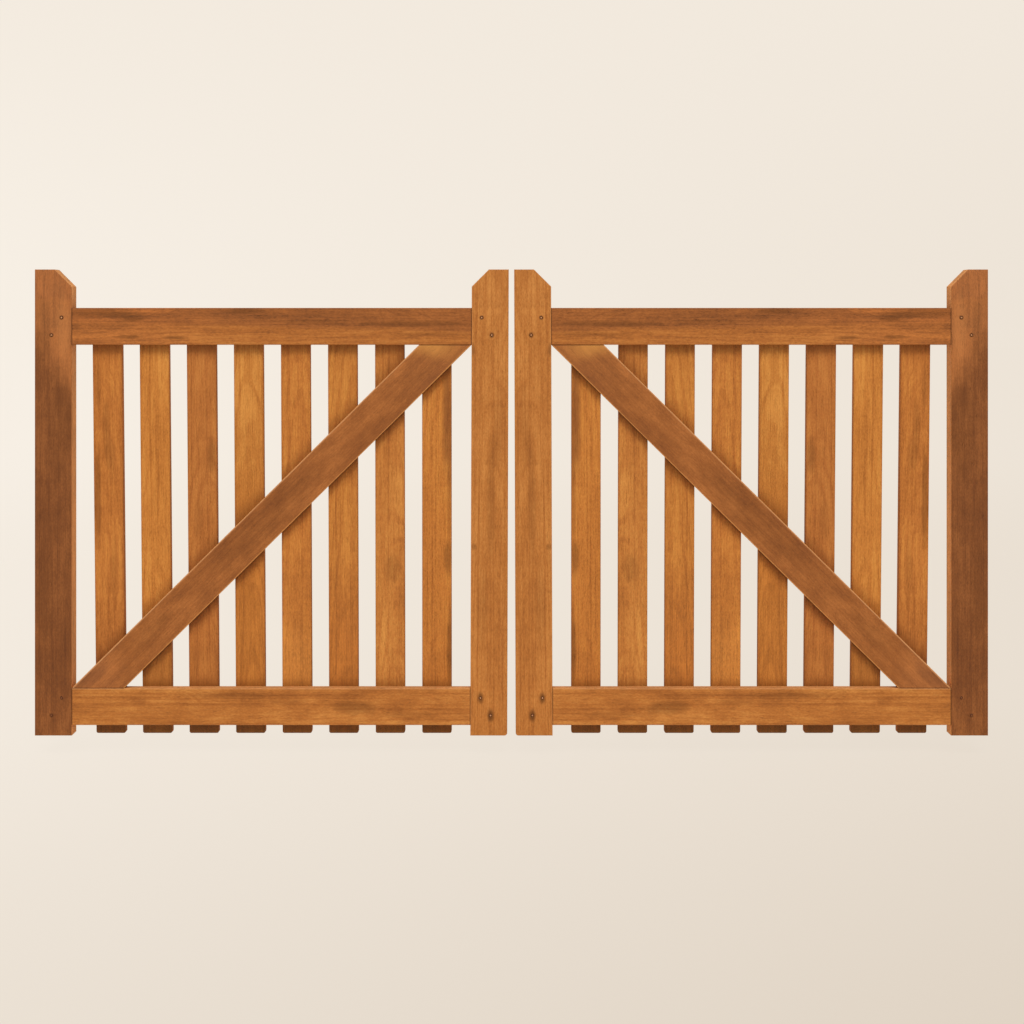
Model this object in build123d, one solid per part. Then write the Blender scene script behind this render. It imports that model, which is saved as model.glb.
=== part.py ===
from build123d import *
import os
from math import asin, atan2, hypot, sin, sqrt

os.makedirs("parts", exist_ok=True)

# A pair of timber driveway gates. Each leaf is a framed, braced gate with eight pickets on its far side.
# +X runs along the closed gates to the right, +Y away from the braced side towards the posts, +Z is up.
# The origin is the middle of the post-side face of the lower plate of the left-hand hinges.

# Driving dimensions in millimetres
leaf_width = 1220
leaf_height = 1200
meeting_gap = 14  # between the heads of the meeting stiles

stile_width = 95
stile_thickness = 45
splay = 44  # leg of the 45 degree cut on the inner top corner of each stile
meeting_lean = 4  # the foot of the meeting stile stands this much nearer to the hanging stile than its head
meeting_foot_round = 7  # worn corner at the foot of the meeting stile

rail_height = 95
rail_thickness = 25  # of the bottom rail, and of the top rail in front of its rebate
top_rail_drop = 99  # from the top of the stiles down to the top rail
bottom_rail_lift = 27  # from the foot of the stiles up to the bottom rail

brace_width = 95
brace_thickness = 25

picket_count = 8
picket_width = 76
picket_thickness = 20
first_head_gap = 46.5  # from the hanging stile to the first picket, at the heads of the pickets
first_foot_gap = 57  # the same at their feet, which were set out a little out of plumb
last_head_gap = 53.5  # from the last picket to the meeting stile
last_foot_gap = 49
picket_housing = 40  # height of picket that stands in the top rail's rebate
foot_round = 5  # round of the two corners at a picket's foot

tenon_length = 65
tenon_thickness = 15
tenon_setback = 5  # from the braced face to the tenon
tenon_shoulder = 10  # rail left above and below the tenon

dowel_diameter = 8
shallow_dowel_inset = 26  # from the shoulder of the joint into the stile
deep_dowel_inset = 52
shallow_dowel_drop = 25  # from the top of the rail down
deep_dowel_drop = 70

hinge_plate_width = 60
hinge_plate_height = 100
hinge_plate_thickness = 4
hinge_plate_corner = 6  # round of the plate's two free corners
hinge_pin_diameter = 8
hinge_rail_distance = 75  # from the near edge of the rail to the middle of the hinge
screw_hole_diameter = 6.5
screw_hole_end = 15  # from a hole's centre to the plate's upper or lower end
screw_hole_inset = 18  # from a hole's centre to the plate's free edge, and to the pin's axis

# Worn edges and clearances
wood_arris = 2
joint_clearance = 0.2
dowel_clearance = 0.05
head_clearance = 0.5
pin_clearance = 0.05
knuckle_clearance = 0.3
plate_clearance = 3  # from a plate's edge to the other plate's knuckle
pin_end_drop = 2  # the pin stops this far below the top of the upper knuckle

# Places that follow, measured on a leaf from its hanging edge, its braced face and the foot of its stiles
bottom_rail_base = bottom_rail_lift
bottom_rail_top = bottom_rail_base + rail_height
top_rail_top = leaf_height - top_rail_drop
top_rail_base = top_rail_top - rail_height
meeting_stile_start = leaf_width - stile_width
head_row = meeting_stile_start - last_head_gap - picket_width - stile_width - first_head_gap
foot_row = meeting_stile_start - meeting_lean - last_foot_gap - picket_width - stile_width - first_foot_gap

knuckle_radius = hinge_pin_diameter / 2 + hinge_plate_thickness
hinge_depth = 2 * knuckle_radius
lower_hinge_height = bottom_rail_top + hinge_rail_distance
upper_hinge_height = top_rail_base - hinge_rail_distance

# Where a leaf stands in the part's own frame
hanging_edge_x = -hinge_plate_width / 2
braced_face_y = -hinge_depth - stile_thickness
foot_z = -lower_hinge_height
centre_x = hanging_edge_x + leaf_width + meeting_gap / 2


def block(x0, x1, y0, y1, z0, z1):
    """A box between two corners."""
    return Pos((x0 + x1) / 2, (y0 + y1) / 2, (z0 + z1) / 2) * Box(x1 - x0, y1 - y0, z1 - z0)


def board(points, thickness):
    """A flat board with this outline seen from the braced side, its near face at y = 0."""
    face = Plane.XZ * make_face(Polyline(*points, close=True))
    return extrude(face, thickness, dir=(0, 1, 0))


def off_plumb(z):
    """How far the leaning meeting stile stands towards the hanging stile at a height."""
    return meeting_lean * (1 - z / leaf_height)


def face_edges(shape):
    """The edges round the near and far faces of a board, without those through its thickness."""
    return shape.edges() - shape.edges().filter_by(Axis.Y)


def place(shape):
    """Moves a piece of a leaf to where the left leaf stands."""
    return Pos(hanging_edge_x, braced_face_y, foot_z) * shape


def save(name, shape):
    """Writes a piece of the left leaf, and its mirror image for the right one."""
    export_step(shape, f"parts/left_{name}.step")
    export_step(mirror(shape, about=Plane.YZ.offset(centre_x)), f"parts/right_{name}.step")


def tenon_height_range(rail_base):
    return rail_base + tenon_shoulder, rail_base + rail_height - tenon_shoulder


def mortise(shoulder_x, into, rail_base):
    """The blind pocket for a tenon, cut into a stile from its shoulder towards `into`, which is -1 or 1."""
    low, high = tenon_height_range(rail_base)
    end_x = shoulder_x + into * (tenon_length + joint_clearance)
    return block(
        min(shoulder_x, end_x),
        max(shoulder_x, end_x),
        tenon_setback - joint_clearance,
        tenon_setback + tenon_thickness + joint_clearance,
        low - joint_clearance,
        high + joint_clearance,
    )


def dowel_places(shoulder_x, into, rail_base):
    """The two dowels of a joint, as x and z."""
    rail_top = rail_base + rail_height
    return [
        (shoulder_x + into * shallow_dowel_inset, rail_top - shallow_dowel_drop),
        (shoulder_x + into * deep_dowel_inset, rail_top - deep_dowel_drop),
    ]


def rods(places, radius, length):
    """Round rods along y from the braced face."""
    return [Pos(x, length / 2, z) * Rot(90, 0, 0) * Cylinder(radius, length) for x, z in places]


def meeting_shoulder(rail_base):
    """Where a rail stops against the meeting stile."""
    return meeting_stile_start - off_plumb(rail_base)


def hanging_joint(rail_base):
    return stile_width, -1, rail_base


def meeting_joint(rail_base):
    return meeting_shoulder(rail_base), 1, rail_base


rail_bases = {"top": top_rail_base, "bottom": bottom_rail_base}
dowel_hole_radius = dowel_diameter / 2 + dowel_clearance


def stile(body, joints):
    """A stile blank with its edges eased and the mortises and dowel holes of its joints."""
    body = fillet(face_edges(body), wood_arris)
    for shoulder_x, into, rail_base in joints:
        body -= mortise(shoulder_x, into, rail_base)
        for rod in rods(dowel_places(shoulder_x, into, rail_base), dowel_hole_radius, stile_thickness):
            body -= rod
    return body


def hanging_stile():
    outline = [
        (0, 0),
        (stile_width, 0),
        (stile_width, leaf_height - splay),
        (stile_width - splay, leaf_height),
        (0, leaf_height),
    ]
    return stile(board(outline, stile_thickness), map(hanging_joint, rail_bases.values()))


def meeting_stile():
    splay_z = leaf_height - splay
    outline = [
        (meeting_stile_start - off_plumb(0), 0),
        (leaf_width - off_plumb(0), 0),
        (leaf_width, leaf_height),
        (meeting_stile_start + splay, leaf_height),
        (meeting_stile_start - off_plumb(splay_z), splay_z),
    ]
    body = board(outline, stile_thickness)
    foot_corner = body.edges().filter_by(Axis.Y).group_by(Axis.Z)[0].sort_by(Axis.X)[-1]
    body = fillet(foot_corner, meeting_foot_round)
    return stile(body, map(meeting_joint, rail_bases.values()))


def rail(rail_base, thickness):
    """A rail between the stiles, with a tenon at each end."""
    far_shoulder = meeting_shoulder(rail_base)
    body = block(stile_width, far_shoulder, 0, thickness, rail_base, rail_base + rail_height)
    body = fillet(body.edges().filter_by(Axis.X), wood_arris)
    low, high = tenon_height_range(rail_base)
    body += block(
        stile_width - tenon_length,
        far_shoulder + tenon_length,
        tenon_setback,
        tenon_setback + tenon_thickness,
        low,
        high,
    )
    for joint in (hanging_joint(rail_base), meeting_joint(rail_base)):
        for rod in rods(dowel_places(*joint), dowel_hole_radius, thickness):
            body -= rod
    return body


def top_rail():
    """As thick as the stiles, with a rebate on the far side that takes the heads of the pickets."""
    body = rail(top_rail_base, stile_thickness)
    rebate_top = top_rail_base + picket_housing + head_clearance
    far_shoulder = meeting_shoulder(top_rail_base)
    return body - block(
        stile_width, far_shoulder, rail_thickness, stile_thickness, top_rail_base, rebate_top
    )


def bottom_rail():
    return rail(bottom_rail_base, rail_thickness)


def brace():
    """From the foot of the hanging stile up to the head of the meeting stile, cut level on both rails."""
    head_x = meeting_shoulder(top_rail_base)
    span = head_x - stile_width
    rise = top_rail_base - bottom_rail_top
    slope = atan2(rise, span) + asin(brace_width / hypot(span, rise))
    level_cut = brace_width / sin(slope)
    outline = [
        (stile_width, bottom_rail_top),
        (stile_width + level_cut, bottom_rail_top),
        (head_x, top_rail_base),
        (head_x - level_cut, top_rail_base),
    ]
    body = board(outline, brace_thickness)
    return fillet(face_edges(body) - body.edges().filter_by(Axis.X), wood_arris)


def picket(number):
    """One picket, counted from the hanging stile."""
    share = (number - 1) / (picket_count - 1)
    head_x = stile_width + first_head_gap + share * head_row
    foot_x = stile_width + first_foot_gap + share * foot_row
    head_z = top_rail_base + picket_housing
    outline = [
        (foot_x, 0),
        (foot_x + picket_width, 0),
        (head_x + picket_width, head_z),
        (head_x, head_z),
    ]
    body = Pos(0, rail_thickness, 0) * board(outline, picket_thickness)
    foot_corners = body.edges().filter_by(Axis.Y).group_by(Axis.Z)[0]
    body = fillet(foot_corners, foot_round)
    head_edges = body.edges().group_by(Axis.Z)[-1]
    return fillet(face_edges(body) - head_edges, wood_arris)


def joint_dowels(shoulder_x, into, rail_base):
    """The two dowels of one joint, which pass through the stile and the tenon."""
    places = dowel_places(shoulder_x, into, rail_base)
    return Compound(rods(places, dowel_diameter / 2, stile_thickness))


def knuckle_profile():
    """A plate that runs into its knuckle, seen from above with the pin at 0, 0 and the plate on the near side."""
    inner_y = hinge_plate_thickness - knuckle_radius
    meet_x = sqrt(knuckle_radius**2 - inner_y**2)
    plate_edge = Polyline(
        (0, -knuckle_radius),
        (hinge_plate_width, -knuckle_radius),
        (hinge_plate_width, inner_y),
        (meet_x, inner_y),
    )
    roll = ThreePointArc((meet_x, inner_y), (0, knuckle_radius), (0, -knuckle_radius))
    return make_face(Wire([*plate_edge.edges(), roll]))


def hinge_plate(knuckle_from, knuckle_to):
    """A plate on the near side of the pin, with its knuckle between two heights above the hinge's foot."""
    body = Pos(0, 0, knuckle_from) * extrude(knuckle_profile(), knuckle_to - knuckle_from, dir=(0, 0, 1))
    body += block(
        knuckle_radius + plate_clearance,
        hinge_plate_width,
        -knuckle_radius,
        hinge_plate_thickness - knuckle_radius,
        0,
        hinge_plate_height,
    )
    free_corners = body.edges().filter_by(Axis.Y).group_by(Axis.X)[-1]
    return fillet(free_corners, hinge_plate_corner)


knuckle_split = hinge_plate_height / 2


def gate_hinge_plate():
    """The half on the leaf, whose upper knuckle drops over the pin."""
    body = hinge_plate(knuckle_split + knuckle_clearance, hinge_plate_height)
    return body - Pos(0, 0, knuckle_split) * Cylinder(
        hinge_pin_diameter / 2 + pin_clearance, 2 * hinge_plate_height
    )


def post_hinge_plate():
    """The half on the post, with the lower knuckle, the pin and four screw holes."""
    body = mirror(hinge_plate(0, knuckle_split), about=Plane.XZ)
    pin_length = hinge_plate_height - pin_end_drop
    body += Pos(0, 0, pin_length / 2) * Cylinder(hinge_pin_diameter / 2, pin_length)
    for x in (screw_hole_inset, hinge_plate_width - screw_hole_inset):
        for z in (screw_hole_end, hinge_plate_height - screw_hole_end):
            hole = Pos(x, 0, z) * Rot(90, 0, 0) * Cylinder(screw_hole_diameter / 2, 4 * knuckle_radius)
            body -= hole
    return body


save("hanging_stile", place(hanging_stile()))
save("meeting_stile", place(meeting_stile()))
save("top_rail", place(top_rail()))
save("bottom_rail", place(bottom_rail()))
save("brace", place(brace()))
for number in range(1, picket_count + 1):
    save(f"picket_{number}", place(picket(number)))

for level, rail_base in rail_bases.items():
    save(f"hanging_{level}_dowels", place(joint_dowels(*hanging_joint(rail_base))))
    save(f"meeting_{level}_dowels", place(joint_dowels(*meeting_joint(rail_base))))

for level, height in (("upper", upper_hinge_height), ("lower", lower_hinge_height)):
    hinge_place = Pos(0, stile_thickness + knuckle_radius, height - hinge_plate_height / 2)
    save(f"{level}_gate_hinge_plate", place(hinge_place * gate_hinge_plate()))
    save(f"{level}_post_hinge_plate", place(hinge_place * post_hinge_plate()))
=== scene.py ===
import math

import bmesh
import bpy
from mathutils import Matrix, Vector


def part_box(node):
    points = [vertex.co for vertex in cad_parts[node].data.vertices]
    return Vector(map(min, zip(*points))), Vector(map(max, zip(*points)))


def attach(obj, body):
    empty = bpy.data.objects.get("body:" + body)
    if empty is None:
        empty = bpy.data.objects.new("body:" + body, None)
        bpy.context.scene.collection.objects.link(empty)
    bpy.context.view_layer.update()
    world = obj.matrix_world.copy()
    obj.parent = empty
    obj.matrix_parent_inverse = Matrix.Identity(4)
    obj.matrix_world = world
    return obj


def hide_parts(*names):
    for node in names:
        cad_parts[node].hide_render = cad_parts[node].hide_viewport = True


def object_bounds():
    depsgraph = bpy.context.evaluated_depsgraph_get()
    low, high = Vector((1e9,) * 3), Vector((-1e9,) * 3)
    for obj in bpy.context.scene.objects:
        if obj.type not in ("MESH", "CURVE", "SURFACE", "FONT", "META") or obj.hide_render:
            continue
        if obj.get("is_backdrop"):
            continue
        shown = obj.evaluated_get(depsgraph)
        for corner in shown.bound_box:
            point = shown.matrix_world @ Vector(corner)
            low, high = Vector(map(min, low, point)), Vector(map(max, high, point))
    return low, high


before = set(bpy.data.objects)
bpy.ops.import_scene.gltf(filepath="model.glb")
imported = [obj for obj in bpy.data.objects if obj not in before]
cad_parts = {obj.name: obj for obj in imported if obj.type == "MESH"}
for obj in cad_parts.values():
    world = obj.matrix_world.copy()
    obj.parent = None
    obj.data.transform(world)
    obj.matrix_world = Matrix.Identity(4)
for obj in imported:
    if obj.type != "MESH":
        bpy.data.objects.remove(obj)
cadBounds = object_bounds()

# Both leaves share their finishes: every pattern is drawn on a leaf's own measures, which are
# u from the hanging edge, v from the braced face and h from the foot of the stiles, in metres.
hangingLow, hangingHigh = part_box("left_hanging_stile")
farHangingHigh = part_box("right_hanging_stile")[1]
centreX = (hangingLow.x + farHangingHigh.x) / 2
halfSpan = centreX - hangingLow.x
nearY = hangingLow.y
footZ = hangingLow.z
leafHeight = hangingHigh.z - hangingLow.z
sides = ("left", "right")


def leafBox(node):  # a node's lowest and highest u, v, h on the left leaf
    low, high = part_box(f"left_{node}")
    shift = Vector((hangingLow.x, nearY, footZ))
    return low - shift, high - shift


print("Frame loaded:", len(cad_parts), "pieces")


# Shader sums

def srgb(red, green, blue):
    def linear(value):
        value /= 255
        return value / 12.92 if value <= 0.04045 else ((value + 0.055) / 1.055) ** 2.4
    return linear(red), linear(green), linear(blue), 1.0


class Signal:  # a shader socket that takes part in Python sums
    def __init__(self, graph, socket):
        self.graph = graph
        self.socket = socket

    def math(self, operation, first, second=0.0):
        return self.graph.math(operation, first, second)

    def __add__(self, other):
        return self.math("ADD", self, other)

    def __sub__(self, other):
        return self.math("SUBTRACT", self, other)

    def __rsub__(self, other):
        return self.math("SUBTRACT", other, self)

    def __mul__(self, other):
        return self.math("MULTIPLY", self, other)

    def __truediv__(self, other):
        return self.math("DIVIDE", self, other)

    def __rtruediv__(self, other):
        return self.math("DIVIDE", other, self)

    def __pow__(self, other):
        return self.math("POWER", self, other)

    def __abs__(self):
        return self.math("ABSOLUTE", self)

    __radd__ = __add__
    __rmul__ = __mul__


class Graph:  # the nodes of one material or of the world
    def __init__(self, name="", tree=None):
        if tree is None:
            self.material = bpy.data.materials.new(name)
            self.material.use_nodes = True
            tree = self.material.node_tree
        self.tree = tree
        self.tree.nodes.clear()

    def add(self, kind, settings=None, inputs=None, output=0):
        node = self.tree.nodes.new(kind)
        for name, value in (settings or {}).items():
            if name == "stops":
                self.setStops(node.color_ramp, value)
            else:
                setattr(node, name, value)
        for key, value in (inputs or {}).items():
            if isinstance(value, Signal):
                self.tree.links.new(value.socket, node.inputs[key])
            else:
                node.inputs[key].default_value = value
        return Signal(self, node.outputs[output]) if node.outputs else node

    def math(self, operation, first, second=0.0):
        return self.add("ShaderNodeMath", {"operation": operation}, {0: first, 1: second})

    def setStops(self, ramp, stops):
        while len(ramp.elements) < len(stops):
            ramp.elements.new(1.0)
        for element, (position, colour) in zip(ramp.elements, stops):
            element.position = position
            element.color = colour

    def point(self):
        return self.add("ShaderNodeTexCoord", output="Object")

    def split(self, vector):
        parts = self.add("ShaderNodeSeparateXYZ", inputs={0: vector}).socket.node.outputs
        return [Signal(self, part) for part in parts]

    def join(self, x, y, z):
        return self.add("ShaderNodeCombineXYZ", inputs={0: x, 1: y, 2: z})

    def stretch(self, vector, scale, shift=(0, 0, 0)):
        inputs = {"Vector": vector, "Scale": scale, "Location": shift}
        return self.add("ShaderNodeMapping", inputs=inputs)

    def noise(self, vector, detail=2.0, roughness=0.5):
        inputs = {"Vector": vector, "Scale": 1.0, "Detail": detail, "Roughness": roughness}
        return self.add("ShaderNodeTexNoise", inputs=inputs)

    def fade(self, value, start, end):  # 0 at start, 1 at end, eased
        inputs = {"Value": value, "From Min": start, "From Max": end}
        return self.add("ShaderNodeMapRange", {"interpolation_type": "SMOOTHSTEP"}, inputs)

    def ramp(self, value, stops):
        return self.add("ShaderNodeValToRGB", {"stops": stops}, {0: value})

    def mix(self, amount, first, second):
        colours = {0: amount, 6: first, 7: second}
        return self.add("ShaderNodeMix", {"data_type": "RGBA"}, colours, output=2)

    def facing(self):  # how far the surface faces to the front or the back, and up or down
        normal = self.split(self.add("ShaderNodeNewGeometry", output="True Normal"))
        return abs(normal[1]), abs(normal[2])

    def finish(self, colour, roughness, height, relief, **constants):
        bump = {"Height": height, "Strength": 1.0, "Distance": relief}
        normal = self.add("ShaderNodeBump", inputs=bump)
        inputs = {"Base Color": colour, "Roughness": roughness, "Normal": normal, **constants}
        shader = self.add("ShaderNodeBsdfPrincipled", inputs=inputs)
        self.add("ShaderNodeOutputMaterial", inputs={"Surface": shader})
        return self.material


# Wood. Tones are dark, middle and light, as red, green and blue up to 255. Places along and
# across a board are in metres, and across is from its middle line.
# bands and stretches: where they start and are whole, strength, tone, slope
# marks: along, across, half length, half width, strength, and a tone where it isn't stainAndShade
# pegs: along, across, radius of the ring, squeeze along the board, strength
# litEdges, a painted highlight along a front edge: side of the board, width, strength, tone

woodDefaults = {
    # the share of each pattern in the tone
    "fibre": 0.25, "grit": 0.26, "streak": 0.24, "lines": 0.16, "blotch": 0.40, "mottle": 0.22,
    "curl": 0.06, "figure": 0.18,
    # the growth rings: middle of the tree from the board's middle line, and their run and width
    "pith": (0.012, 0.030), "tilt": 0.045, "wander": 0.010, "ringWidth": 0.0075,
    # how far the edges change tone, the painted light and shade on side faces and arrises, how much
    # grain added tones keep, and gloss
    "edge": 0.12, "arris": 0.25, "side": 0.6, "spread": 0.20, "endGrain": True, "roughness": 0.52,
    "bands": (), "stretches": (), "marks": (), "pegs": (), "litEdges": (), "joints": (),
    "addedTones": None,  # a function that adds what only these boards have: painted shade on the pickets, a golden head on the brace
}
woodFields = {  # waves a metre across and along the grain, place in the noise, detail, roughness
    "blotch": (12, 3.4, 1.7, 2.0, 0.5),
    "mottle": (38, 16, 6.2, 2.0, 0.5),
    "streak": (70, 2.6, 4.1, 3.0, 0.5),
    "fibre": (340, 9, 8.3, 3.0, 0.6),
    "curl": (9, 46, 12.9, 2.0, 0.5),
    "grit": (310, 150, 27.4, 1.0, 0.5),
    "lines": (150, 1.3, 20.6, 1.0, 0.5),
    "wander": (5.0, 3.0, 15.2, 2.0, 0.5),
}
woodSurface = {  # pairs are where a share starts and is whole
    "pores": (1100, 1100, 42), "poreMark": (0.36, 0.26), "poreTone": 0.22, "poreHole": (0.40, 0.28),
    "sideFace": (0.65, 0.35), "endFace": (0.80, 0.92), "arrisFront": (0.90, 0.80),
    "arrisSide": (0.50, 0.62), "edgeShade": (0.008, 0.002), "endGrain": 0.8,
    "roughFibre": 0.2, "roughBlotch": 0.12, "roughSide": 0.3, "relief": 0.0006, "specular": 0.22,
}
# the tone of dark stains, and of the painted shade on the pickets
stainAndShade = (97, 54, 12)
jointLine = (62, 30, 12)
endGrainTones = ((124, 74, 36), (188, 124, 70))
dowelRadius = 0.004


def boardPattern(graph, board, along, across, depth):
    seed = board["seed"]
    pithSide, pithDepth = board["pith"]
    grain = graph.join(across, depth, along)
    fields = {}
    for name, (cross, length, place, detail, roughness) in woodFields.items():
        shift = (seed * 7.31 + place, seed * 3.17, seed * 5.53)
        waves = graph.stretch(grain, (cross, cross, length), shift)
        fields[name] = graph.noise(waves, detail, roughness) - 0.5

    wander = fields["wander"] * (board["wander"] * 8)
    sideways = across - pithSide + wander
    inwards = depth + pithDepth + wander * 0.6 + along * board["tilt"]
    radius = (sideways ** 2 + inwards ** 2) ** 0.5
    turns = radius * (2 * math.pi / board["ringWidth"])
    fields["rings"] = graph.math("SINE", turns + fields["mottle"] * 2.0)
    patchy = graph.fade(fields["blotch"] + fields["mottle"] * 0.6, -0.16, 0.10)
    fields["figure"] = graph.fade(fields["rings"], 0.1, 1.0) * patchy
    fields["lines"] = graph.fade(fields["lines"], 0.04, 0.16)
    fields["pores"] = graph.noise(graph.stretch(grain, woodSurface["pores"], (seed, 0, 0)), 1.0)

    tone = 0.5 + 0.2 * board["figure"] + 0.3 * board["lines"]
    for name in ("blotch", "mottle", "streak", "fibre", "grit", "curl"):
        tone = tone + fields[name] * (2.0 * board[name])
    for name in ("figure", "lines"):
        tone = tone - fields[name] * board[name]
    return tone, fields


def woodMaterial(name, board, measure, halfWidth):
    board = {**woodDefaults, **board}
    graph = Graph(name)
    x, y, z = graph.split(graph.point())
    u = halfSpan - abs(x - centreX)
    v = y - nearY
    h = z - footZ
    along, across = measure(u, h)
    facing, upward = graph.facing()
    tone, fields = boardPattern(graph, board, along, across, v)
    blotch, mottle, streak, fibre, pores = (
        fields[part] for part in ("blotch", "mottle", "streak", "fibre", "pores"))
    dark, middle, light = (srgb(*shade) for shade in board["tones"])
    stain = srgb(*stainAndShade)
    colour = graph.ramp(tone, [(0.05, dark), (0.5, middle), (0.95, light)])

    def share(value, span):
        return graph.fade(value, *woodSurface[span])

    def grained(shade):  # a tone that keeps the board's grain
        spread = board["spread"]
        stops = []
        for place, strength in ((0.1, 1 - spread), (0.5, 1), (0.9, 1 + 0.7 * spread)):
            stops.append((place, srgb(*(min(255, part * strength) for part in shade))))
        return graph.ramp(tone, stops)

    for start, end, strength, shade, slope in board["bands"]:  # tone across the board
        band = graph.fade(across + along * slope + mottle * 0.02 + streak * 0.008, start, end)
        colour = graph.mix(band * strength, colour, grained(shade))
    for start, end, strength, shade, slope in board["stretches"]:  # tone along the board
        stretch = graph.fade(along + across * slope + mottle * 0.05, start, end)
        colour = graph.mix(stretch * strength, colour, grained(shade))
    ragged = streak * 0.9 + mottle * 0.9 + blotch * 0.7
    for place, offside, halfLength, halfMark, strength, *shade in board["marks"]:
        far = ((along - place) / halfLength) ** 2 + ((across - offside) / halfMark) ** 2
        mark = graph.fade(far + ragged * 1.8, 2.0, 0.0) * strength
        colour = graph.mix(mark, colour, srgb(*shade[0]) if shade else stain)
    for place, offside, ring, squeeze, strength in board["pegs"]:  # stains round the dowels
        far = ((across - offside) ** 2 + ((along - place) * squeeze) ** 2) ** 0.5
        halo = graph.fade(far + mottle * 0.003, ring, 0.9 * dowelRadius) * strength
        colour = graph.mix(halo, colour, stain)
    colour = graph.mix(share(pores, "poreMark") * woodSurface["poreTone"], colour, dark)
    fromEdge = halfWidth - abs(across)
    edge = share(fromEdge + streak * 0.006, "edgeShade") * board["edge"]
    colour = graph.mix(edge, colour, dark)
    if board["addedTones"]:
        colour = board["addedTones"](graph, colour, u, v, h, tone, fields, middle)
    for side, width, strength, shade in board["litEdges"]:  # painted highlight on a front edge
        rim = graph.fade(halfWidth - across * side + streak * 0.002, width, 0.4 * width)
        colour = graph.mix(rim * strength, colour, srgb(*shade))
    # side, upper and lower faces get a painted light and shade tone, by the way they face
    sideShare = share(facing, "sideFace")
    colour = graph.mix(sideShare * board["side"], colour, grained(board["sideLightingTone"]))
    if board["endGrain"]:
        endTone = tone * 0.6 + graph.fade(fields["rings"], -0.6, 0.9) * 0.4
        stops = [(place, srgb(*shade)) for place, shade in zip((0.2, 0.8), endGrainTones)]
        ends = share(upward, "endFace") * woodSurface["endGrain"]
        colour = graph.mix(ends, colour, graph.ramp(endTone, stops))
    # painted highlight on the rounded arrises, and on the pickets a darker painted shade
    arris = share(facing, "arrisFront") * share(facing, "arrisSide") * board["arris"]
    colour = graph.mix(arris, colour, srgb(*board.get("arrisLightingTone", board["tones"][2])))
    for line in board["joints"]:  # dark lines where boards meet, and along the bottom of the pickets' feet
        colour = graph.mix(line(u, h, graph), colour, srgb(*jointLine))
    roughness = (
        board["roughness"] + fibre * woodSurface["roughFibre"]
        + blotch * woodSurface["roughBlotch"] + sideShare * woodSurface["roughSide"]
    )
    height = fibre * 0.6 + streak * 0.5 - share(pores, "poreHole") * 0.6 - fields["figure"] * 0.25
    constants = {"Specular IOR Level": woodSurface["specular"]}
    return graph.finish(colour, roughness, height, woodSurface["relief"], **constants)


def upright(foot, head, height):  # a board whose middle line may lean a little
    return lambda u, h: (h, u - foot - h * ((head - foot) / height))


def level(middle):
    return lambda u, h: (u, h - middle)


def sloping(start, end):  # a board between two points, measured from its lower end
    cos, sin = (Vector(end) - Vector(start)).normalized()
    return lambda u, h: (
        (u - start[0]) * cos + (h - start[1]) * sin,
        (h - start[1]) * cos - (u - start[0]) * sin,
    )


def paint(node, material):
    for side in sides:
        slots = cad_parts[f"{side}_{node}"].data.materials
        slots.clear()
        slots.append(material)


# Where the boards meet, on the left leaf

lineWidth = 0.0024
stileWidth = hangingHigh.x - hangingLow.x
meetingLow, meetingHigh = leafBox("meeting_stile")
meetingLean = meetingHigh.x - stileWidth - meetingLow.x
topRailLow, topRailHigh = leafBox("top_rail")
bottomRailLow, bottomRailHigh = leafBox("bottom_rail")
braceLow, braceHigh = leafBox("brace")
picketNear = leafBox("picket_1")[0].y


def shoulderLines(strength):  # at both ends of a rail
    def hangingEnd(u, h, graph):
        return graph.fade(u, stileWidth + lineWidth, stileWidth + 0.4 * lineWidth) * strength

    def meetingEnd(u, h, graph):
        fromStile = (meetingLow.x + h * (meetingLean / leafHeight)) - u
        return graph.fade(fromStile, lineWidth, 0.4 * lineWidth) * (0.75 * strength)
    return hangingEnd, meetingEnd


def levelLine(place, side, strength):  # along a board's level upper (-1) or lower (1) end
    def line(u, h, graph):
        return graph.fade(h, place + side * lineWidth, place + 0.3 * side * lineWidth) * strength
    return line


stileBoards = {
    "hanging_stile": {
        "seed": 1.0, "tones": ((98, 53, 22), (124, 71, 31), (154, 93, 45)),
        "sideLightingTone": (224, 152, 88), "side": 0.9, "arris": 0.5, "arrisLightingTone": (170, 106, 54),
        "edge": 0.05, "figure": 0.06, "blotch": 0.42, "streak": 0.20, "mottle": 0.30,
        "stretches": (
            (0.90, 1.03, 0.85, (173, 106, 54), 1.5), (1.120, 1.130, 0.45, (156, 94, 50), 0.0),
        ),
        "marks": (
            (0.80, 0.02, 0.14, 0.03, 0.16), (0.35, -0.02, 0.12, 0.02, 0.12),
            (1.00, -0.03, 0.05, 0.02, 0.22), (1.10, -0.03, 0.03, 0.02, 0.15),
            (1.05, 0.026, 0.075, 0.014, 0.35, (196, 126, 68)),
        ),
    },
    "meeting_stile": {
        "seed": 2.0, "tones": ((141, 80, 29), (177, 109, 46), (203, 135, 66)),
        "sideLightingTone": (206, 138, 74), "arris": 0.5, "edge": 0.10, "blotch": 0.32, "figure": 0.10,
        "tilt": 0.03, "litEdges": ((-1, 0.0035, 0.45, (206, 140, 82)),),
        "marks": (
            (0.486, -0.040, 0.009, 0.008, 0.45), (0.995, -0.044, 0.016, 0.005, 0.55),
            (0.60, 0.004, 0.14, 0.010, 0.20), (0.34, -0.018, 0.10, 0.012, 0.16),
            (0.80, 0.020, 0.10, 0.010, 0.14),
        ),
    },
}
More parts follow.
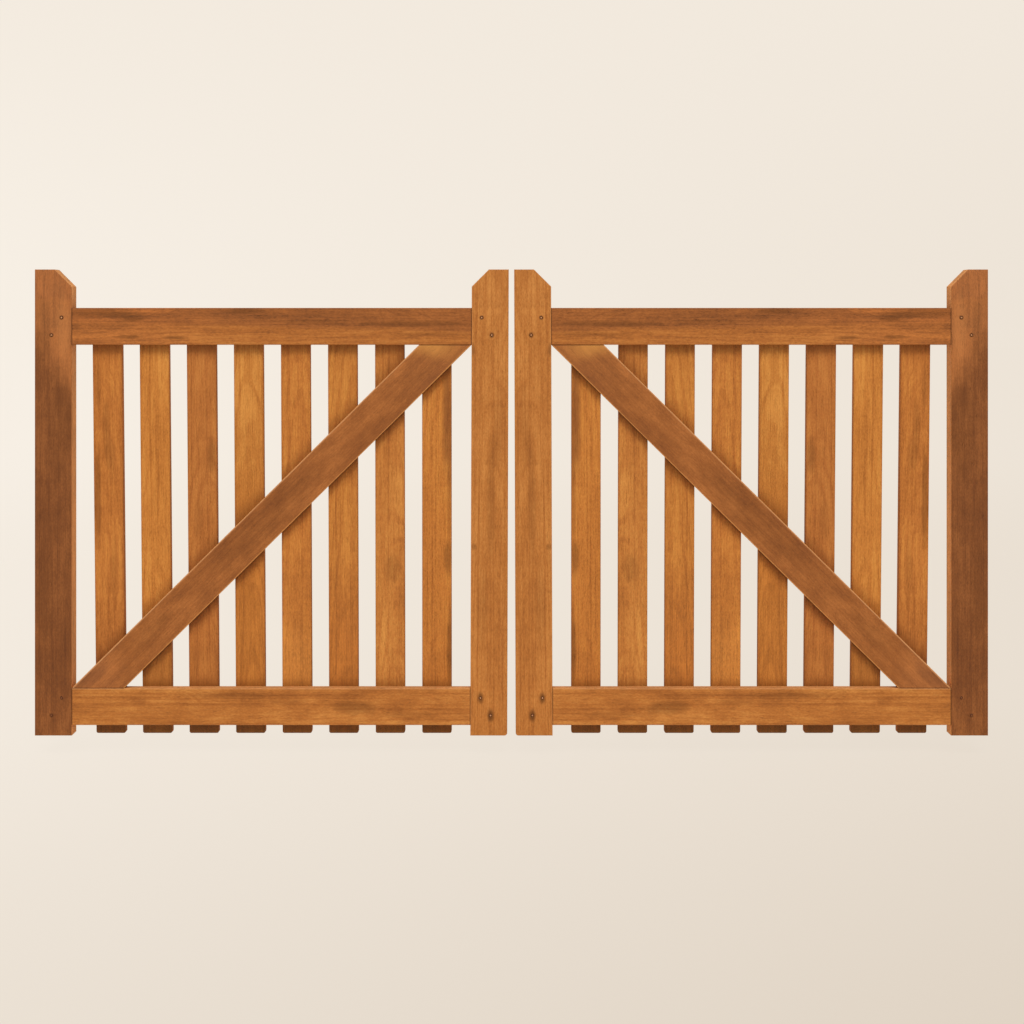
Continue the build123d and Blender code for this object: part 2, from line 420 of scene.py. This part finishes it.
railBoards = {
    "top_rail": {
        "seed": 3.0, "tones": ((124, 70, 27), (172, 103, 43), (198, 129, 60)),
        "sideLightingTone": (168, 100, 48), "spread": 0.36, "endGrain": False, "edge": 0.14,
        "streak": 0.28, "figure": 0.10, "mottle": 0.20, "blotch": 0.30, "lines": 0.10,
        "fibre": 0.26,
        "bands": ((0.008, 0.022, 0.68, (132, 75, 34), 0.026),),
        "stretches": ((0.55, 0.20, 0.60, (158, 92, 42), 0.0),),
        "marks": (
            (0.238, -0.027, 0.032, 0.005, 0.62), (0.362, -0.029, 0.034, 0.005, 0.66),
            (0.250, 0.020, 0.026, 0.007, 0.50), (0.170, 0.036, 0.110, 0.011, 0.50),
            (0.541, 0.040, 0.045, 0.006, 0.45), (0.985, 0.008, 0.120, 0.008, 0.42),
            (0.700, 0.012, 0.090, 0.006, 0.25), (1.020, -0.020, 0.090, 0.005, 0.22),
        ),
    },
    "bottom_rail": {
        "seed": 4.0, "tones": ((142, 81, 29), (178, 109, 46), (206, 138, 66)),
        "sideLightingTone": (204, 140, 82), "side": 0.9, "arris": 0.5, "arrisLightingTone": (196, 134, 78),
        "endGrain": False, "edge": 0.06, "figure": 0.08, "blotch": 0.54, "streak": 0.24,
        "fibre": 0.26, "mottle": 0.38, "litEdges": ((1, 0.0050, 0.45, (202, 140, 84)),),
        "marks": (
            (0.827, -0.002, 0.050, 0.016, 0.42), (0.470, 0.030, 0.110, 0.009, 0.20),
            (0.640, 0.012, 0.050, 0.007, 0.16), (0.960, -0.020, 0.070, 0.008, 0.16),
        ),
    },
}
braceBoard = {
    "seed": 5.0, "tones": ((122, 68, 28), (148, 87, 38), (176, 108, 52)),
    "sideLightingTone": (206, 140, 80), "side": 0.9, "arris": 0.9, "arrisLightingTone": (214, 150, 88),
    "endGrain": False, "edge": 0.12, "blotch": 0.46, "streak": 0.09, "fibre": 0.26,
    "figure": 0.04, "mottle": 0.42, "lines": 0.10,
    "stretches": (
        (1.04, 1.20, 0.35, (168, 103, 51), 0.0), (0.12, 0.02, 0.35, (166, 103, 56), -0.6),
    ),
    "litEdges": ((1, 0.0044, 0.80, (200, 142, 92)), (-1, 0.0032, 0.80, (208, 140, 72))),
    "marks": (
        (0.62, 0.0, 0.16, 0.03, 0.14), (0.20, 0.01, 0.06, 0.02, 0.20),
        (0.02, 0.030, 0.05, 0.018, 0.34, (112, 66, 38)),
        (1.16, -0.036, 0.08, 0.010, 0.30, (128, 72, 34)),
    ),
}
picketDefaults = {
    "sideLightingTone": (176, 104, 46), "side": 0.7, "arris": 0.3, "arrisLightingTone": (150, 86, 34), "edge": 0.16,
}
picketBoards = (  # from the hanging stile to the meeting stile
    {
        "seed": 11.0, "tones": ((144, 80, 26), (183, 111, 46), (208, 136, 60)),
        # its darker lower stretch is painted shade near the brace
        "pith": (-0.02, 0.03), "stretches": ((0.38, 0.14, 0.50, (154, 90, 38), 0.0),),
        "marks": (
            (0.60, -0.028, 0.11, 0.008, 0.42), (0.80, -0.004, 0.05, 0.009, 0.26),
            (0.72, 0.004, 0.04, 0.012, 0.24), (0.90, -0.024, 0.05, 0.006, 0.22),
            (0.42, 0.012, 0.08, 0.010, 0.18),
        ),
    },
    {
        "seed": 12.0, "tones": ((156, 90, 30), (194, 122, 50), (216, 148, 68)),
        "pith": (0.010, 0.022), "figure": 0.22,
        "stretches": ((0.26, 0.14, 0.60, (152, 92, 37), 0.0),),
    },
    {
        "seed": 13.0, "tones": ((140, 77, 28), (177, 107, 46), (200, 130, 61)),
        "pith": (0.004, 0.016), "tilt": 0.06,
        "stretches": ((0.26, 0.14, 0.40, (158, 94, 38), 0.0),),
        "marks": ((0.715, 0.027, 0.045, 0.011, 0.36), (0.55, -0.012, 0.05, 0.010, 0.16)),
    },
    {
        "seed": 14.0, "tones": ((152, 88, 31), (186, 117, 47), (211, 143, 66)),
        "pith": (-0.006, 0.020), "figure": 0.20,
        "stretches": ((0.78, 0.45, 0.55, (172, 101, 36), 0.0),),
    },
    {
        "seed": 15.0, "tones": ((146, 83, 30), (185, 113, 46), (210, 140, 62)),
        "curl": 0.12, "figure": 0.14,
        "stretches": ((0.36, 0.20, 0.60, (196, 125, 54), 0.0),),
    },
    {
        "seed": 16.0, "tones": ((146, 83, 28), (184, 114, 46), (209, 140, 62)),
        "pith": (0.016, 0.026), "curl": 0.10,
        "stretches": ((0.55, 0.25, 0.80, (172, 102, 40), 0.0),),
    },
    {
        "seed": 17.0, "tones": ((146, 84, 32), (185, 115, 49), (210, 142, 67)),
        "curl": 0.12, "figure": 0.16,
        "marks": ((0.426, 0.004, 0.034, 0.020, 0.26), (0.40, 0.010, 0.012, 0.006, 0.20)),
    },
    {
        "seed": 18.0, "tones": ((148, 84, 28), (191, 118, 48), (214, 144, 63)),
        "curl": 0.08, "figure": 0.14, "stretches": ((0.45, 0.15, 0.40, (168, 98, 38), 0.0),),
        "marks": (
            (0.820, 0.027, 0.170, 0.012, 0.70, (116, 64, 26)), (0.450, 0.029, 0.040, 0.009, 0.48),
            (0.223, 0.033, 0.090, 0.007, 0.58), (0.60, 0.030, 0.09, 0.005, 0.25),
        ),
    },
)
pegStains = {  # upper and lower dowel: ring, squeeze and strength, while the frame gives the place
    "hanging_top": ((0.0075, 1.0, 0.75), (0.0075, 1.0, 0.75)),
    "hanging_bottom": ((0.0050, 1.0, 0.35), (0.0085, 1.0, 0.55)),
    "meeting_top": ((0.0080, 1.0, 0.70), (0.0085, 0.8, 0.70)),
    "meeting_bottom": ((0.0110, 0.55, 0.75), (0.0120, 0.5, 0.85)),
}


def pegPlaces(joint):  # the upper dowel of a joint is the one nearer the middle of the leaf
    low, high = leafBox(f"{joint}_dowels")
    near, far = low.x + dowelRadius, high.x - dowelRadius
    upper, lower = high.z - dowelRadius, low.z + dowelRadius
    if joint.startswith("hanging"):
        return (far, upper), (near, lower)
    return (near, upper), (far, lower)


def dressStiles():
    for name, board in stileBoards.items():
        low, high = leafBox(name)
        foot = low.x + stileWidth / 2
        head = high.x - stileWidth / 2
        measure = upright(foot, head, leafHeight)
        pegs = []
        for joint, stains in pegStains.items():
            if joint.split("_")[0] == name.split("_")[0]:
                for (u, h), stain in zip(pegPlaces(joint), stains):
                    pegs.append((*measure(u, h), *stain))
        paint(name, woodMaterial(name, {**board, "pegs": pegs}, measure, stileWidth / 2))


def dressRails():
    for name, board in railBoards.items():
        low, high = leafBox(name)
        board = {**board, "joints": shoulderLines(0.85)}
        paint(name, woodMaterial(name, board, level((low.z + high.z) / 2), (high.z - low.z) / 2))


braceWidth = topRailHigh.z - topRailLow.z
braceRise, braceSpan = braceHigh.z - braceLow.z, braceHigh.x - braceLow.x
braceLength = math.hypot(braceRise, braceSpan)
braceSlope = math.atan2(braceRise, braceSpan) + math.asin(braceWidth / braceLength)
braceCut = braceWidth / math.sin(braceSlope)  # its level cuts at the rails
braceFoot = (braceLow.x + braceCut / 2, braceLow.z)
braceHead = (braceHigh.x - braceCut / 2, braceHigh.z)
braceMeasure = sloping(braceFoot, braceHead)


goldenHead = {
    "tone": (202, 138, 66), "strength": 0.85, "fall": 0.22, "from": 0.076, "whole": 0.014,
    "side": (0.004, 0.120),
}


def goldBrace(graph, colour, u, v, h, tone, fields, middle):  # a lighter golden tone at its head
    fall = (u - braceHigh.x) * goldenHead["fall"]  # it reaches further down toward the upper edge
    start, whole = braceHigh.z - goldenHead["from"], braceHigh.z - goldenHead["whole"]
    head = graph.fade(h + fall + fields["mottle"] * 0.04, start, whole) ** 1.3
    near, far = (braceHigh.x - reach for reach in goldenHead["side"])
    gold = head * graph.fade(u, near, far) * goldenHead["strength"]
    return graph.mix(gold, colour, srgb(*goldenHead["tone"]))


def dressBrace():
    board = {
        **braceBoard, "addedTones": goldBrace,
        "joints": (levelLine(braceHigh.z, -1, 0.75), levelLine(braceLow.z, 1, 0.75)),
    }
    paint("brace", woodMaterial("brace", board, braceMeasure, braceWidth / 2))


picketShade = {  # how far painted shade reaches from the brace and the rails, and its strength
    "overBrace": (0.036, 0.42), "underBrace": (0.026, 0.40), "closeUnder": (0.007, 0.35),
    "underRail": (0.030, 0.45), "overRail": (0.026, 0.42), "frontDepth": (0.012, 0.003),
}
footShadow = {  # painted shadow below the bottom rail, and fainter on the far side
    "tone": (98, 57, 12), "start": 0.002, "whole": 0.006, "front": 0.94, "lessBehind": 0.50,
    "behind": (0.008, 0.014),
}


# painted shade on the pickets beside the brace and the rails, and a painted shadow on their feet
def paintPicketShade(graph, colour, u, v, h, tone, fields, middle):
    fromBrace = braceMeasure(u, h)[1]

    def besideBrace(side, place):
        reach, strength = picketShade[place]
        toward = fromBrace * side
        shade = graph.fade(toward, braceWidth / 2 + reach, braceWidth / 2)
        return shade * graph.fade(toward, -0.01, 0.01) * strength

    def besideRail(edge, way, place):
        reach, strength = picketShade[place]
        return graph.fade(h, edge + way * reach, edge + way * 0.002) * strength

    underBrace = besideBrace(-1, "underBrace") + besideBrace(-1, "closeUnder")
    brace = besideBrace(1, "overBrace") + underBrace
    underRail = besideRail(topRailLow.z, -1, "underRail")
    overRail = besideRail(bottomRailHigh.z, 1, "overRail")
    deepest = graph.math("MAXIMUM", brace, graph.math("MAXIMUM", underRail, overRail))
    # the painted shade, on the front face only
    start, whole = (picketNear + depth for depth in picketShade["frontDepth"])
    colour = graph.mix(deepest * graph.fade(v, start, whole), colour, srgb(*stainAndShade))

    # painted shadow on the feet below the bottom rail
    mottle, streak = fields["mottle"], fields["streak"]
    start, whole = (bottomRailHigh.y + depth for depth in footShadow["behind"])
    behind = graph.fade(v, start, whole)
    overFoot = h + (mottle * 0.02 + streak * 0.03) * behind - bottomRailLow.z
    foot = graph.fade(overFoot, footShadow["start"], -footShadow["whole"])
    footShadowTone = graph.mix(tone * 0.3, srgb(*footShadow["tone"]), middle)
    return graph.mix(foot * (footShadow["front"] - behind * footShadow["lessBehind"]), colour, footShadowTone)


def dressPickets():
    for number, board in enumerate(picketBoards, 1):
        name = f"picket_{number}"
        foot, head, height, width = boardEnds(name)
        footLine = levelLine(leafBox(name)[0].z, 1, 0.45)
        board = {**picketDefaults, **board, "addedTones": paintPicketShade, "joints": (footLine,)}
        paint(name, woodMaterial(name, board, upright(foot, head, height), width / 2))


def boardEnds(node):  # where the middles of a picket's foot and head stand along the leaf
    vertices = [v.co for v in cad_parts[f"left_{node}"].data.vertices]
    low = min(v.z for v in vertices)
    high = max(v.z for v in vertices)
    head = [v.x - hangingLow.x for v in vertices if high - v.z < 0.004]
    foot = [v.x - hangingLow.x for v in vertices if v.z - low < 0.012]  # above its small rounds
    width = max(head) - min(head)
    return (min(foot) + max(foot)) / 2, (min(head) + max(head)) / 2, high - low, width


steelFinish = {
    "grit": (900, 900, 900), "wear": (60, 60, 60), "worn": (0.45, 0.75), "wornShare": 0.5,
    "roughness": 0.42, "rougher": 0.2, "relief": 0.0002,
}


def steelMaterial(name, fresh, worn, metallic):
    graph = Graph(name)
    grit = graph.noise(graph.stretch(graph.point(), steelFinish["grit"]), 3.0)
    wear = graph.noise(graph.stretch(graph.point(), steelFinish["wear"]), 4.0)
    wornShare = graph.fade(wear, *steelFinish["worn"]) * steelFinish["wornShare"]
    colour = graph.mix(wornShare, srgb(*fresh), srgb(*worn))
    roughness = steelFinish["roughness"] + wear * steelFinish["rougher"]
    return graph.finish(colour, roughness, grit, steelFinish["relief"], Metallic=metallic)


peg = {
    "dome": 0.0005, "arris": 0.0014, "steps": 24, "fit": 0.00005,
    "pores": (1500, 300, 1500), "lightPores": (0.35, 0.7), "rimFaces": (0.97, 0.90),
    "roughness": 0.6, "relief": 0.0002, "specular": 0.2,
}


def pegMaterial(name, dark, light, rim):
    graph = Graph(name)
    pores = graph.noise(graph.stretch(graph.point(), peg["pores"]), 3.0)
    colour = graph.mix(graph.fade(pores, *peg["lightPores"]), srgb(*dark), srgb(*light))
    rimShare = graph.fade(graph.facing()[0], *peg["rimFaces"])
    colour = graph.mix(rimShare, colour, srgb(*rim))
    constants = {"Specular IOR Level": peg["specular"]}
    return graph.finish(colour, peg["roughness"], pores, peg["relief"], **constants)


dressStiles()
dressRails()
dressBrace()
dressPickets()
steel = steelMaterial("hinge_steel", (44, 43, 42), (78, 74, 70), 0.4)
for place in ("upper", "lower"):
    paint(f"{place}_gate_hinge_plate", steel)
    paint(f"{place}_post_hinge_plate", steel)
print("Boards dressed")


# Small pieces on both leaves

def newPiece(name, shape, material):
    mesh = bpy.data.meshes.new(name)
    bmesh.ops.recalc_face_normals(shape, faces=shape.faces)
    shape.to_mesh(mesh)
    shape.free()
    mesh.materials.append(material)
    piece = bpy.data.objects.new(name, mesh)
    bpy.context.collection.objects.link(piece)
    return piece


def leafPoint(side, u, v, h):  # a leaf's measures as a point of the frame
    across = u - halfSpan if side == "left" else halfSpan - u
    return Vector((centreX + across, nearY + v, footZ + h))


def addTurned(shape, profile, steps, place, faceWay):
    # profile runs as (radius, height) from the middle of the front to the back edge
    points = [shape.verts.new((radius, 0, height)) for radius, height in profile]
    edges = [shape.edges.new(pair) for pair in zip(points, points[1:])]
    bmesh.ops.spin(
        shape, geom=points + edges, axis=(0, 0, 1), cent=(0, 0, 0),
        steps=steps, angle=2 * math.pi, use_merge=True, use_duplicate=False)
    bmesh.ops.remove_doubles(shape, verts=shape.verts, dist=1e-6)
    fresh = [v for v in shape.verts if v.tag is False]
    turn = Matrix.Rotation(math.pi / 2 * faceWay, 4, "X")
    bmesh.ops.transform(shape, matrix=Matrix.Translation(place) @ turn, verts=fresh)
    for v in fresh:
        v.tag = True


def buildPegs():  # two domed pegs a joint, in place of the plain rods
    pale = pegMaterial("peg_end_grain", (168, 112, 70), (216, 164, 118), (84, 42, 16))
    dull = pegMaterial("peg_end_grain_dark", (108, 62, 34), (134, 80, 46), (84, 44, 22))
    for side in sides:
        for joint in pegStains:
            low, high = leafBox(f"{joint}_dowels")
            shape = bmesh.new()
            radius = dowelRadius - peg["fit"]
            dome, arris, back = peg["dome"], peg["arris"], low.y - high.y
            profile = (
                (0.0, dome), (0.5 * radius, 0.8 * dome), (radius - arris, 0.3 * dome),
                (radius - 0.25 * arris, -0.35 * arris), (radius, -arris),
                (radius, back + arris), (radius - arris, back), (0.0, back),
            )
            for u, h in pegPlaces(joint):
                addTurned(shape, profile, peg["steps"], leafPoint(side, u, low.y, h), 1)
            node = f"{side}_{joint}_dowels"
            piece = newPiece(f"{node}_domed", shape, dull if joint == "hanging_bottom" else pale)
            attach(piece, f"{side}_leaf")
            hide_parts(node)


screw = {
    "headRadius": 0.0038, "proud": 0.0004, "shankRadius": 0.0018, "length": 0.012, "steps": 20,
    "inset": 0.019, "railInset": 0.026, "slants": (0.0, 0.010, 0.012),
}


def buildPicketScrews():  # two a picket in each rail and two in the brace, driven from the far side
    material = steelMaterial("screw_steel", (150, 140, 124), (96, 84, 70), 0.9)
    farFace = leafBox("picket_1")[1].y
    head = screw["headRadius"]
    profile = (
        (0.0, 0.0), (0.35 * head, 0.0), (0.5 * head, screw["proud"]), (0.88 * head, screw["proud"]),
        (head, 0.0), (screw["shankRadius"], -0.6 * head), (screw["shankRadius"], -screw["length"]),
        (0.0, -screw["length"] - 0.001),
    )
    for side in sides:
        shape = bmesh.new()
        for number in range(1, len(picketBoards) + 1):
            foot, top, height, width = boardEnds(f"picket_{number}")
            footHeight = leafBox(f"picket_{number}")[0].z
            lean = (top - foot) / height
            atTopRail = topRailLow.z + screw["railInset"]
            atBottomRail = (bottomRailLow.z + bottomRailHigh.z) / 2
            atBrace = braceHeightAt((foot + top) / 2)
            for row, slant in zip((atTopRail, atBottomRail, atBrace), screw["slants"]):
                for offside in (-1, 1):
                    u = foot + (row - footHeight) * lean + offside * (width / 2 - screw["inset"])
                    place = leafPoint(side, u, farFace, row + offside * slant)
                    addTurned(shape, profile, screw["steps"], place, -1)
        piece = newPiece(f"{side}_picket_screws", shape, material)
        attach(piece, f"{side}_leaf")


def braceHeightAt(u):
    cos, sin = math.cos(braceSlope), math.sin(braceSlope)
    return braceLow.z + (u - braceLow.x - braceCut / 2) * sin / cos


hinge = {
    "plateThickness": 0.004, "holeInset": 0.018, "holeEnd": 0.015, "knuckleRadius": 0.008,
    "headRadius": 0.0056, "headHeight": 0.0022, "shankRadius": 0.0028, "shankLength": 0.020,
}


def buildHingeScrews():  # low pan heads in the plates on the leaves
    material = steelMaterial("hinge_screw_steel", (58, 56, 54), (104, 96, 88), 0.7)
    head, rise = hinge["headRadius"], hinge["headHeight"]
    shank, depth = hinge["shankRadius"], hinge["shankLength"]
    profile = (
        (0.0, 0.72 * rise), (0.30 * head, 0.72 * rise), (0.42 * head, rise),
        (0.66 * head, 0.90 * rise), (0.90 * head, 0.55 * rise), (head, 0.12 * rise),
        (0.97 * head, 0.0), (shank, 0.0), (shank, -depth), (0.0, -depth - 0.002),
    )
    for side in sides:
        shape = bmesh.new()
        for place in ("upper", "lower"):
            low, high = leafBox(f"{place}_gate_hinge_plate")
            outer = low.y + hinge["plateThickness"]
            plateEdge = low.x + hinge["knuckleRadius"]
            for u in (plateEdge + hinge["holeInset"], high.x - hinge["holeInset"]):
                for h in (low.z + hinge["holeEnd"], high.z - hinge["holeEnd"]):
                    addTurned(shape, profile, screw["steps"], leafPoint(side, u, outer, h), -1)
        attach(newPiece(f"{side}_hinge_screws", shape, material), f"{side}_leaf")


buildPegs()
buildPicketScrews()
buildHingeScrews()
print("Pegs and screws built")


# Stage: floor, light and camera

stage = {
    "cream": (247, 239, 228), "shade": (221, 208, 192),
    "middle": 0.19, "slant": 0.20, "slantLimit": 1.3, "widening": 0.33,
    "skyNear": 0.02, "skyRise": 0.25, "skyShare": 0.2,
    "floorStart": -1.6, "floorNear": 0.80, "floorReach": (12.0, 3.5),
    "floorFar": ((12.0, 0.0), 0.17), "floorFront": ((0.8, -3.0), 0.52),
    "floorDrop": 0.055, "floorSize": 60.0, "floorGlow": 0.96, "glowReach": (1.2, 4.0),
    "worldStrength": 0.52, "lampWarmth": (1.0, 0.985, 0.965),
    "sunStrength": 1.80, "sunAngle": 28.0, "sunHeight": 50.0,
}


def backdropTint(graph, across, extra):  # painted shade: cream that deepens to the right, and nearer by
    limit = stage["slantLimit"]
    across = graph.math("MAXIMUM", graph.math("MINIMUM", across, limit), -limit)
    depth = across * stage["slant"] + extra + stage["middle"]
    return graph.mix(depth, srgb(*stage["cream"]), srgb(*stage["shade"]))


def cameraRays(graph):  # 1 where the camera looks, also through glass and in a gloss
    path = graph.add("ShaderNodeLightPath").socket.node.outputs
    direct, glossy, through = (
        Signal(graph, path[f"Is {kind} Ray"]) for kind in ("Camera", "Glossy", "Transmission"))
    settings = {"operation": "ADD", "use_clamp": True}
    return graph.add("ShaderNodeMath", settings, {0: direct + glossy, 1: through})


def buildWorld():
    world = bpy.data.worlds.new("studio")
    bpy.context.scene.world = world
    world.use_nodes = True
    graph = Graph(tree=world.node_tree)
    warm = {"Color": (*stage["lampWarmth"], 1.0), "Strength": stage["worldStrength"]}
    light = graph.add("ShaderNodeBackground", inputs=warm)
    x, y, z = graph.split(graph.add("ShaderNodeTexCoord", output="Generated"))
    level = graph.fade(z, stage["skyRise"], 0.0) * (1 - stage["skyShare"]) + stage["skyShare"]
    across = x / (abs(y) * stage["widening"] + stage["skyNear"]) * level
    cream = {"Color": backdropTint(graph, across, 0.0), "Strength": 1.0}
    shown = graph.add("ShaderNodeBackground", inputs=cream)
    chosen = graph.add("ShaderNodeMixShader", inputs={0: cameraRays(graph), 1: light, 2: shown})
    graph.add("ShaderNodeOutputWorld", inputs={"Surface": chosen})


def buildFloor():
    mesh = bpy.data.meshes.new("floor")
    shape = bmesh.new()
    bmesh.ops.create_grid(shape, x_segments=1, y_segments=1, size=stage["floorSize"])
    bmesh.ops.translate(shape, vec=(centreX, 0, footZ - stage["floorDrop"]), verts=shape.verts)
    shape.to_mesh(mesh)
    shape.free()
    floor = bpy.data.objects.new("floor", mesh)
    bpy.context.collection.objects.link(floor)
    graph = Graph("floor")
    x, y = graph.split(graph.point())[:2]
    distance = ((x - centreX) ** 2 + y ** 2) ** 0.5
    fromStart = abs(y - stage["floorStart"])
    across = (x - centreX) / (fromStart * stage["widening"] + stage["floorNear"])
    spans = (stage["floorFar"], stage["floorFront"])
    far, front = (graph.fade(y, *span) * strength for span, strength in spans)
    nearer = (far + front) * graph.fade(distance, *stage["floorReach"])
    tint = backdropTint(graph, across, nearer)
    glowing = graph.fade(distance, *stage["glowReach"])
    glowShare = glowing * (1 - stage["floorGlow"]) + stage["floorGlow"]
    plain = graph.add("ShaderNodeBsdfDiffuse", inputs={"Color": srgb(*stage["cream"])})
    glow = graph.add("ShaderNodeEmission", inputs={"Color": tint, "Strength": 1.0})
    shown = graph.add("ShaderNodeMixShader", inputs={0: glowShare, 1: plain, 2: glow})
    chosen = graph.add("ShaderNodeMixShader", inputs={0: cameraRays(graph), 1: plain, 2: shown})
    graph.add("ShaderNodeOutputMaterial", inputs={"Surface": chosen})
    mesh.materials.append(graph.material)
    floor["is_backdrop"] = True


def buildSun():
    data = bpy.data.lights.new("sun", "SUN")
    data.energy = stage["sunStrength"]
    data.angle = math.radians(stage["sunAngle"])
    data.color = stage["lampWarmth"]
    lamp = bpy.data.objects.new("sun", data)
    lamp.rotation_euler = (math.radians(90 - stage["sunHeight"]), 0, 0)
    bpy.context.collection.objects.link(lamp)


camera = {
    "distance": 4.0, "imageSize": 1024, "sensor": 36.0,
    "leftPixel": 34.7, "rightPixel": 988.2, "footPixel": 735.7, "eyePixel": 320.0,
}


def buildCamera():
    size = camera["imageSize"]
    perPixel = 2 * halfSpan / (camera["rightPixel"] - camera["leftPixel"])
    data = bpy.data.cameras.new("camera")
    data.sensor_width = camera["sensor"]
    data.lens = camera["distance"] / (perPixel * size) * camera["sensor"]
    data.shift_x = (size / 2 - (camera["leftPixel"] + camera["rightPixel"]) / 2) / size
    data.shift_y = (camera["eyePixel"] - size / 2) / size
    viewer = bpy.data.objects.new("camera", data)
    eyeHeight = footZ + (camera["footPixel"] - camera["eyePixel"]) * perPixel
    viewer.location = (centreX, nearY - camera["distance"], eyeHeight)
    viewer.rotation_euler = (math.pi / 2, 0, 0)
    bpy.context.collection.objects.link(viewer)
    bpy.context.scene.camera = viewer


buildWorld()
buildFloor()
buildSun()
buildCamera()
bpy.context.scene.view_settings.view_transform = "Standard"
print("Stage built")

bounds = {"cad": cadBounds, "visual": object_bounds()}
{name: [list(corner) for corner in box] for name, box in bounds.items()}
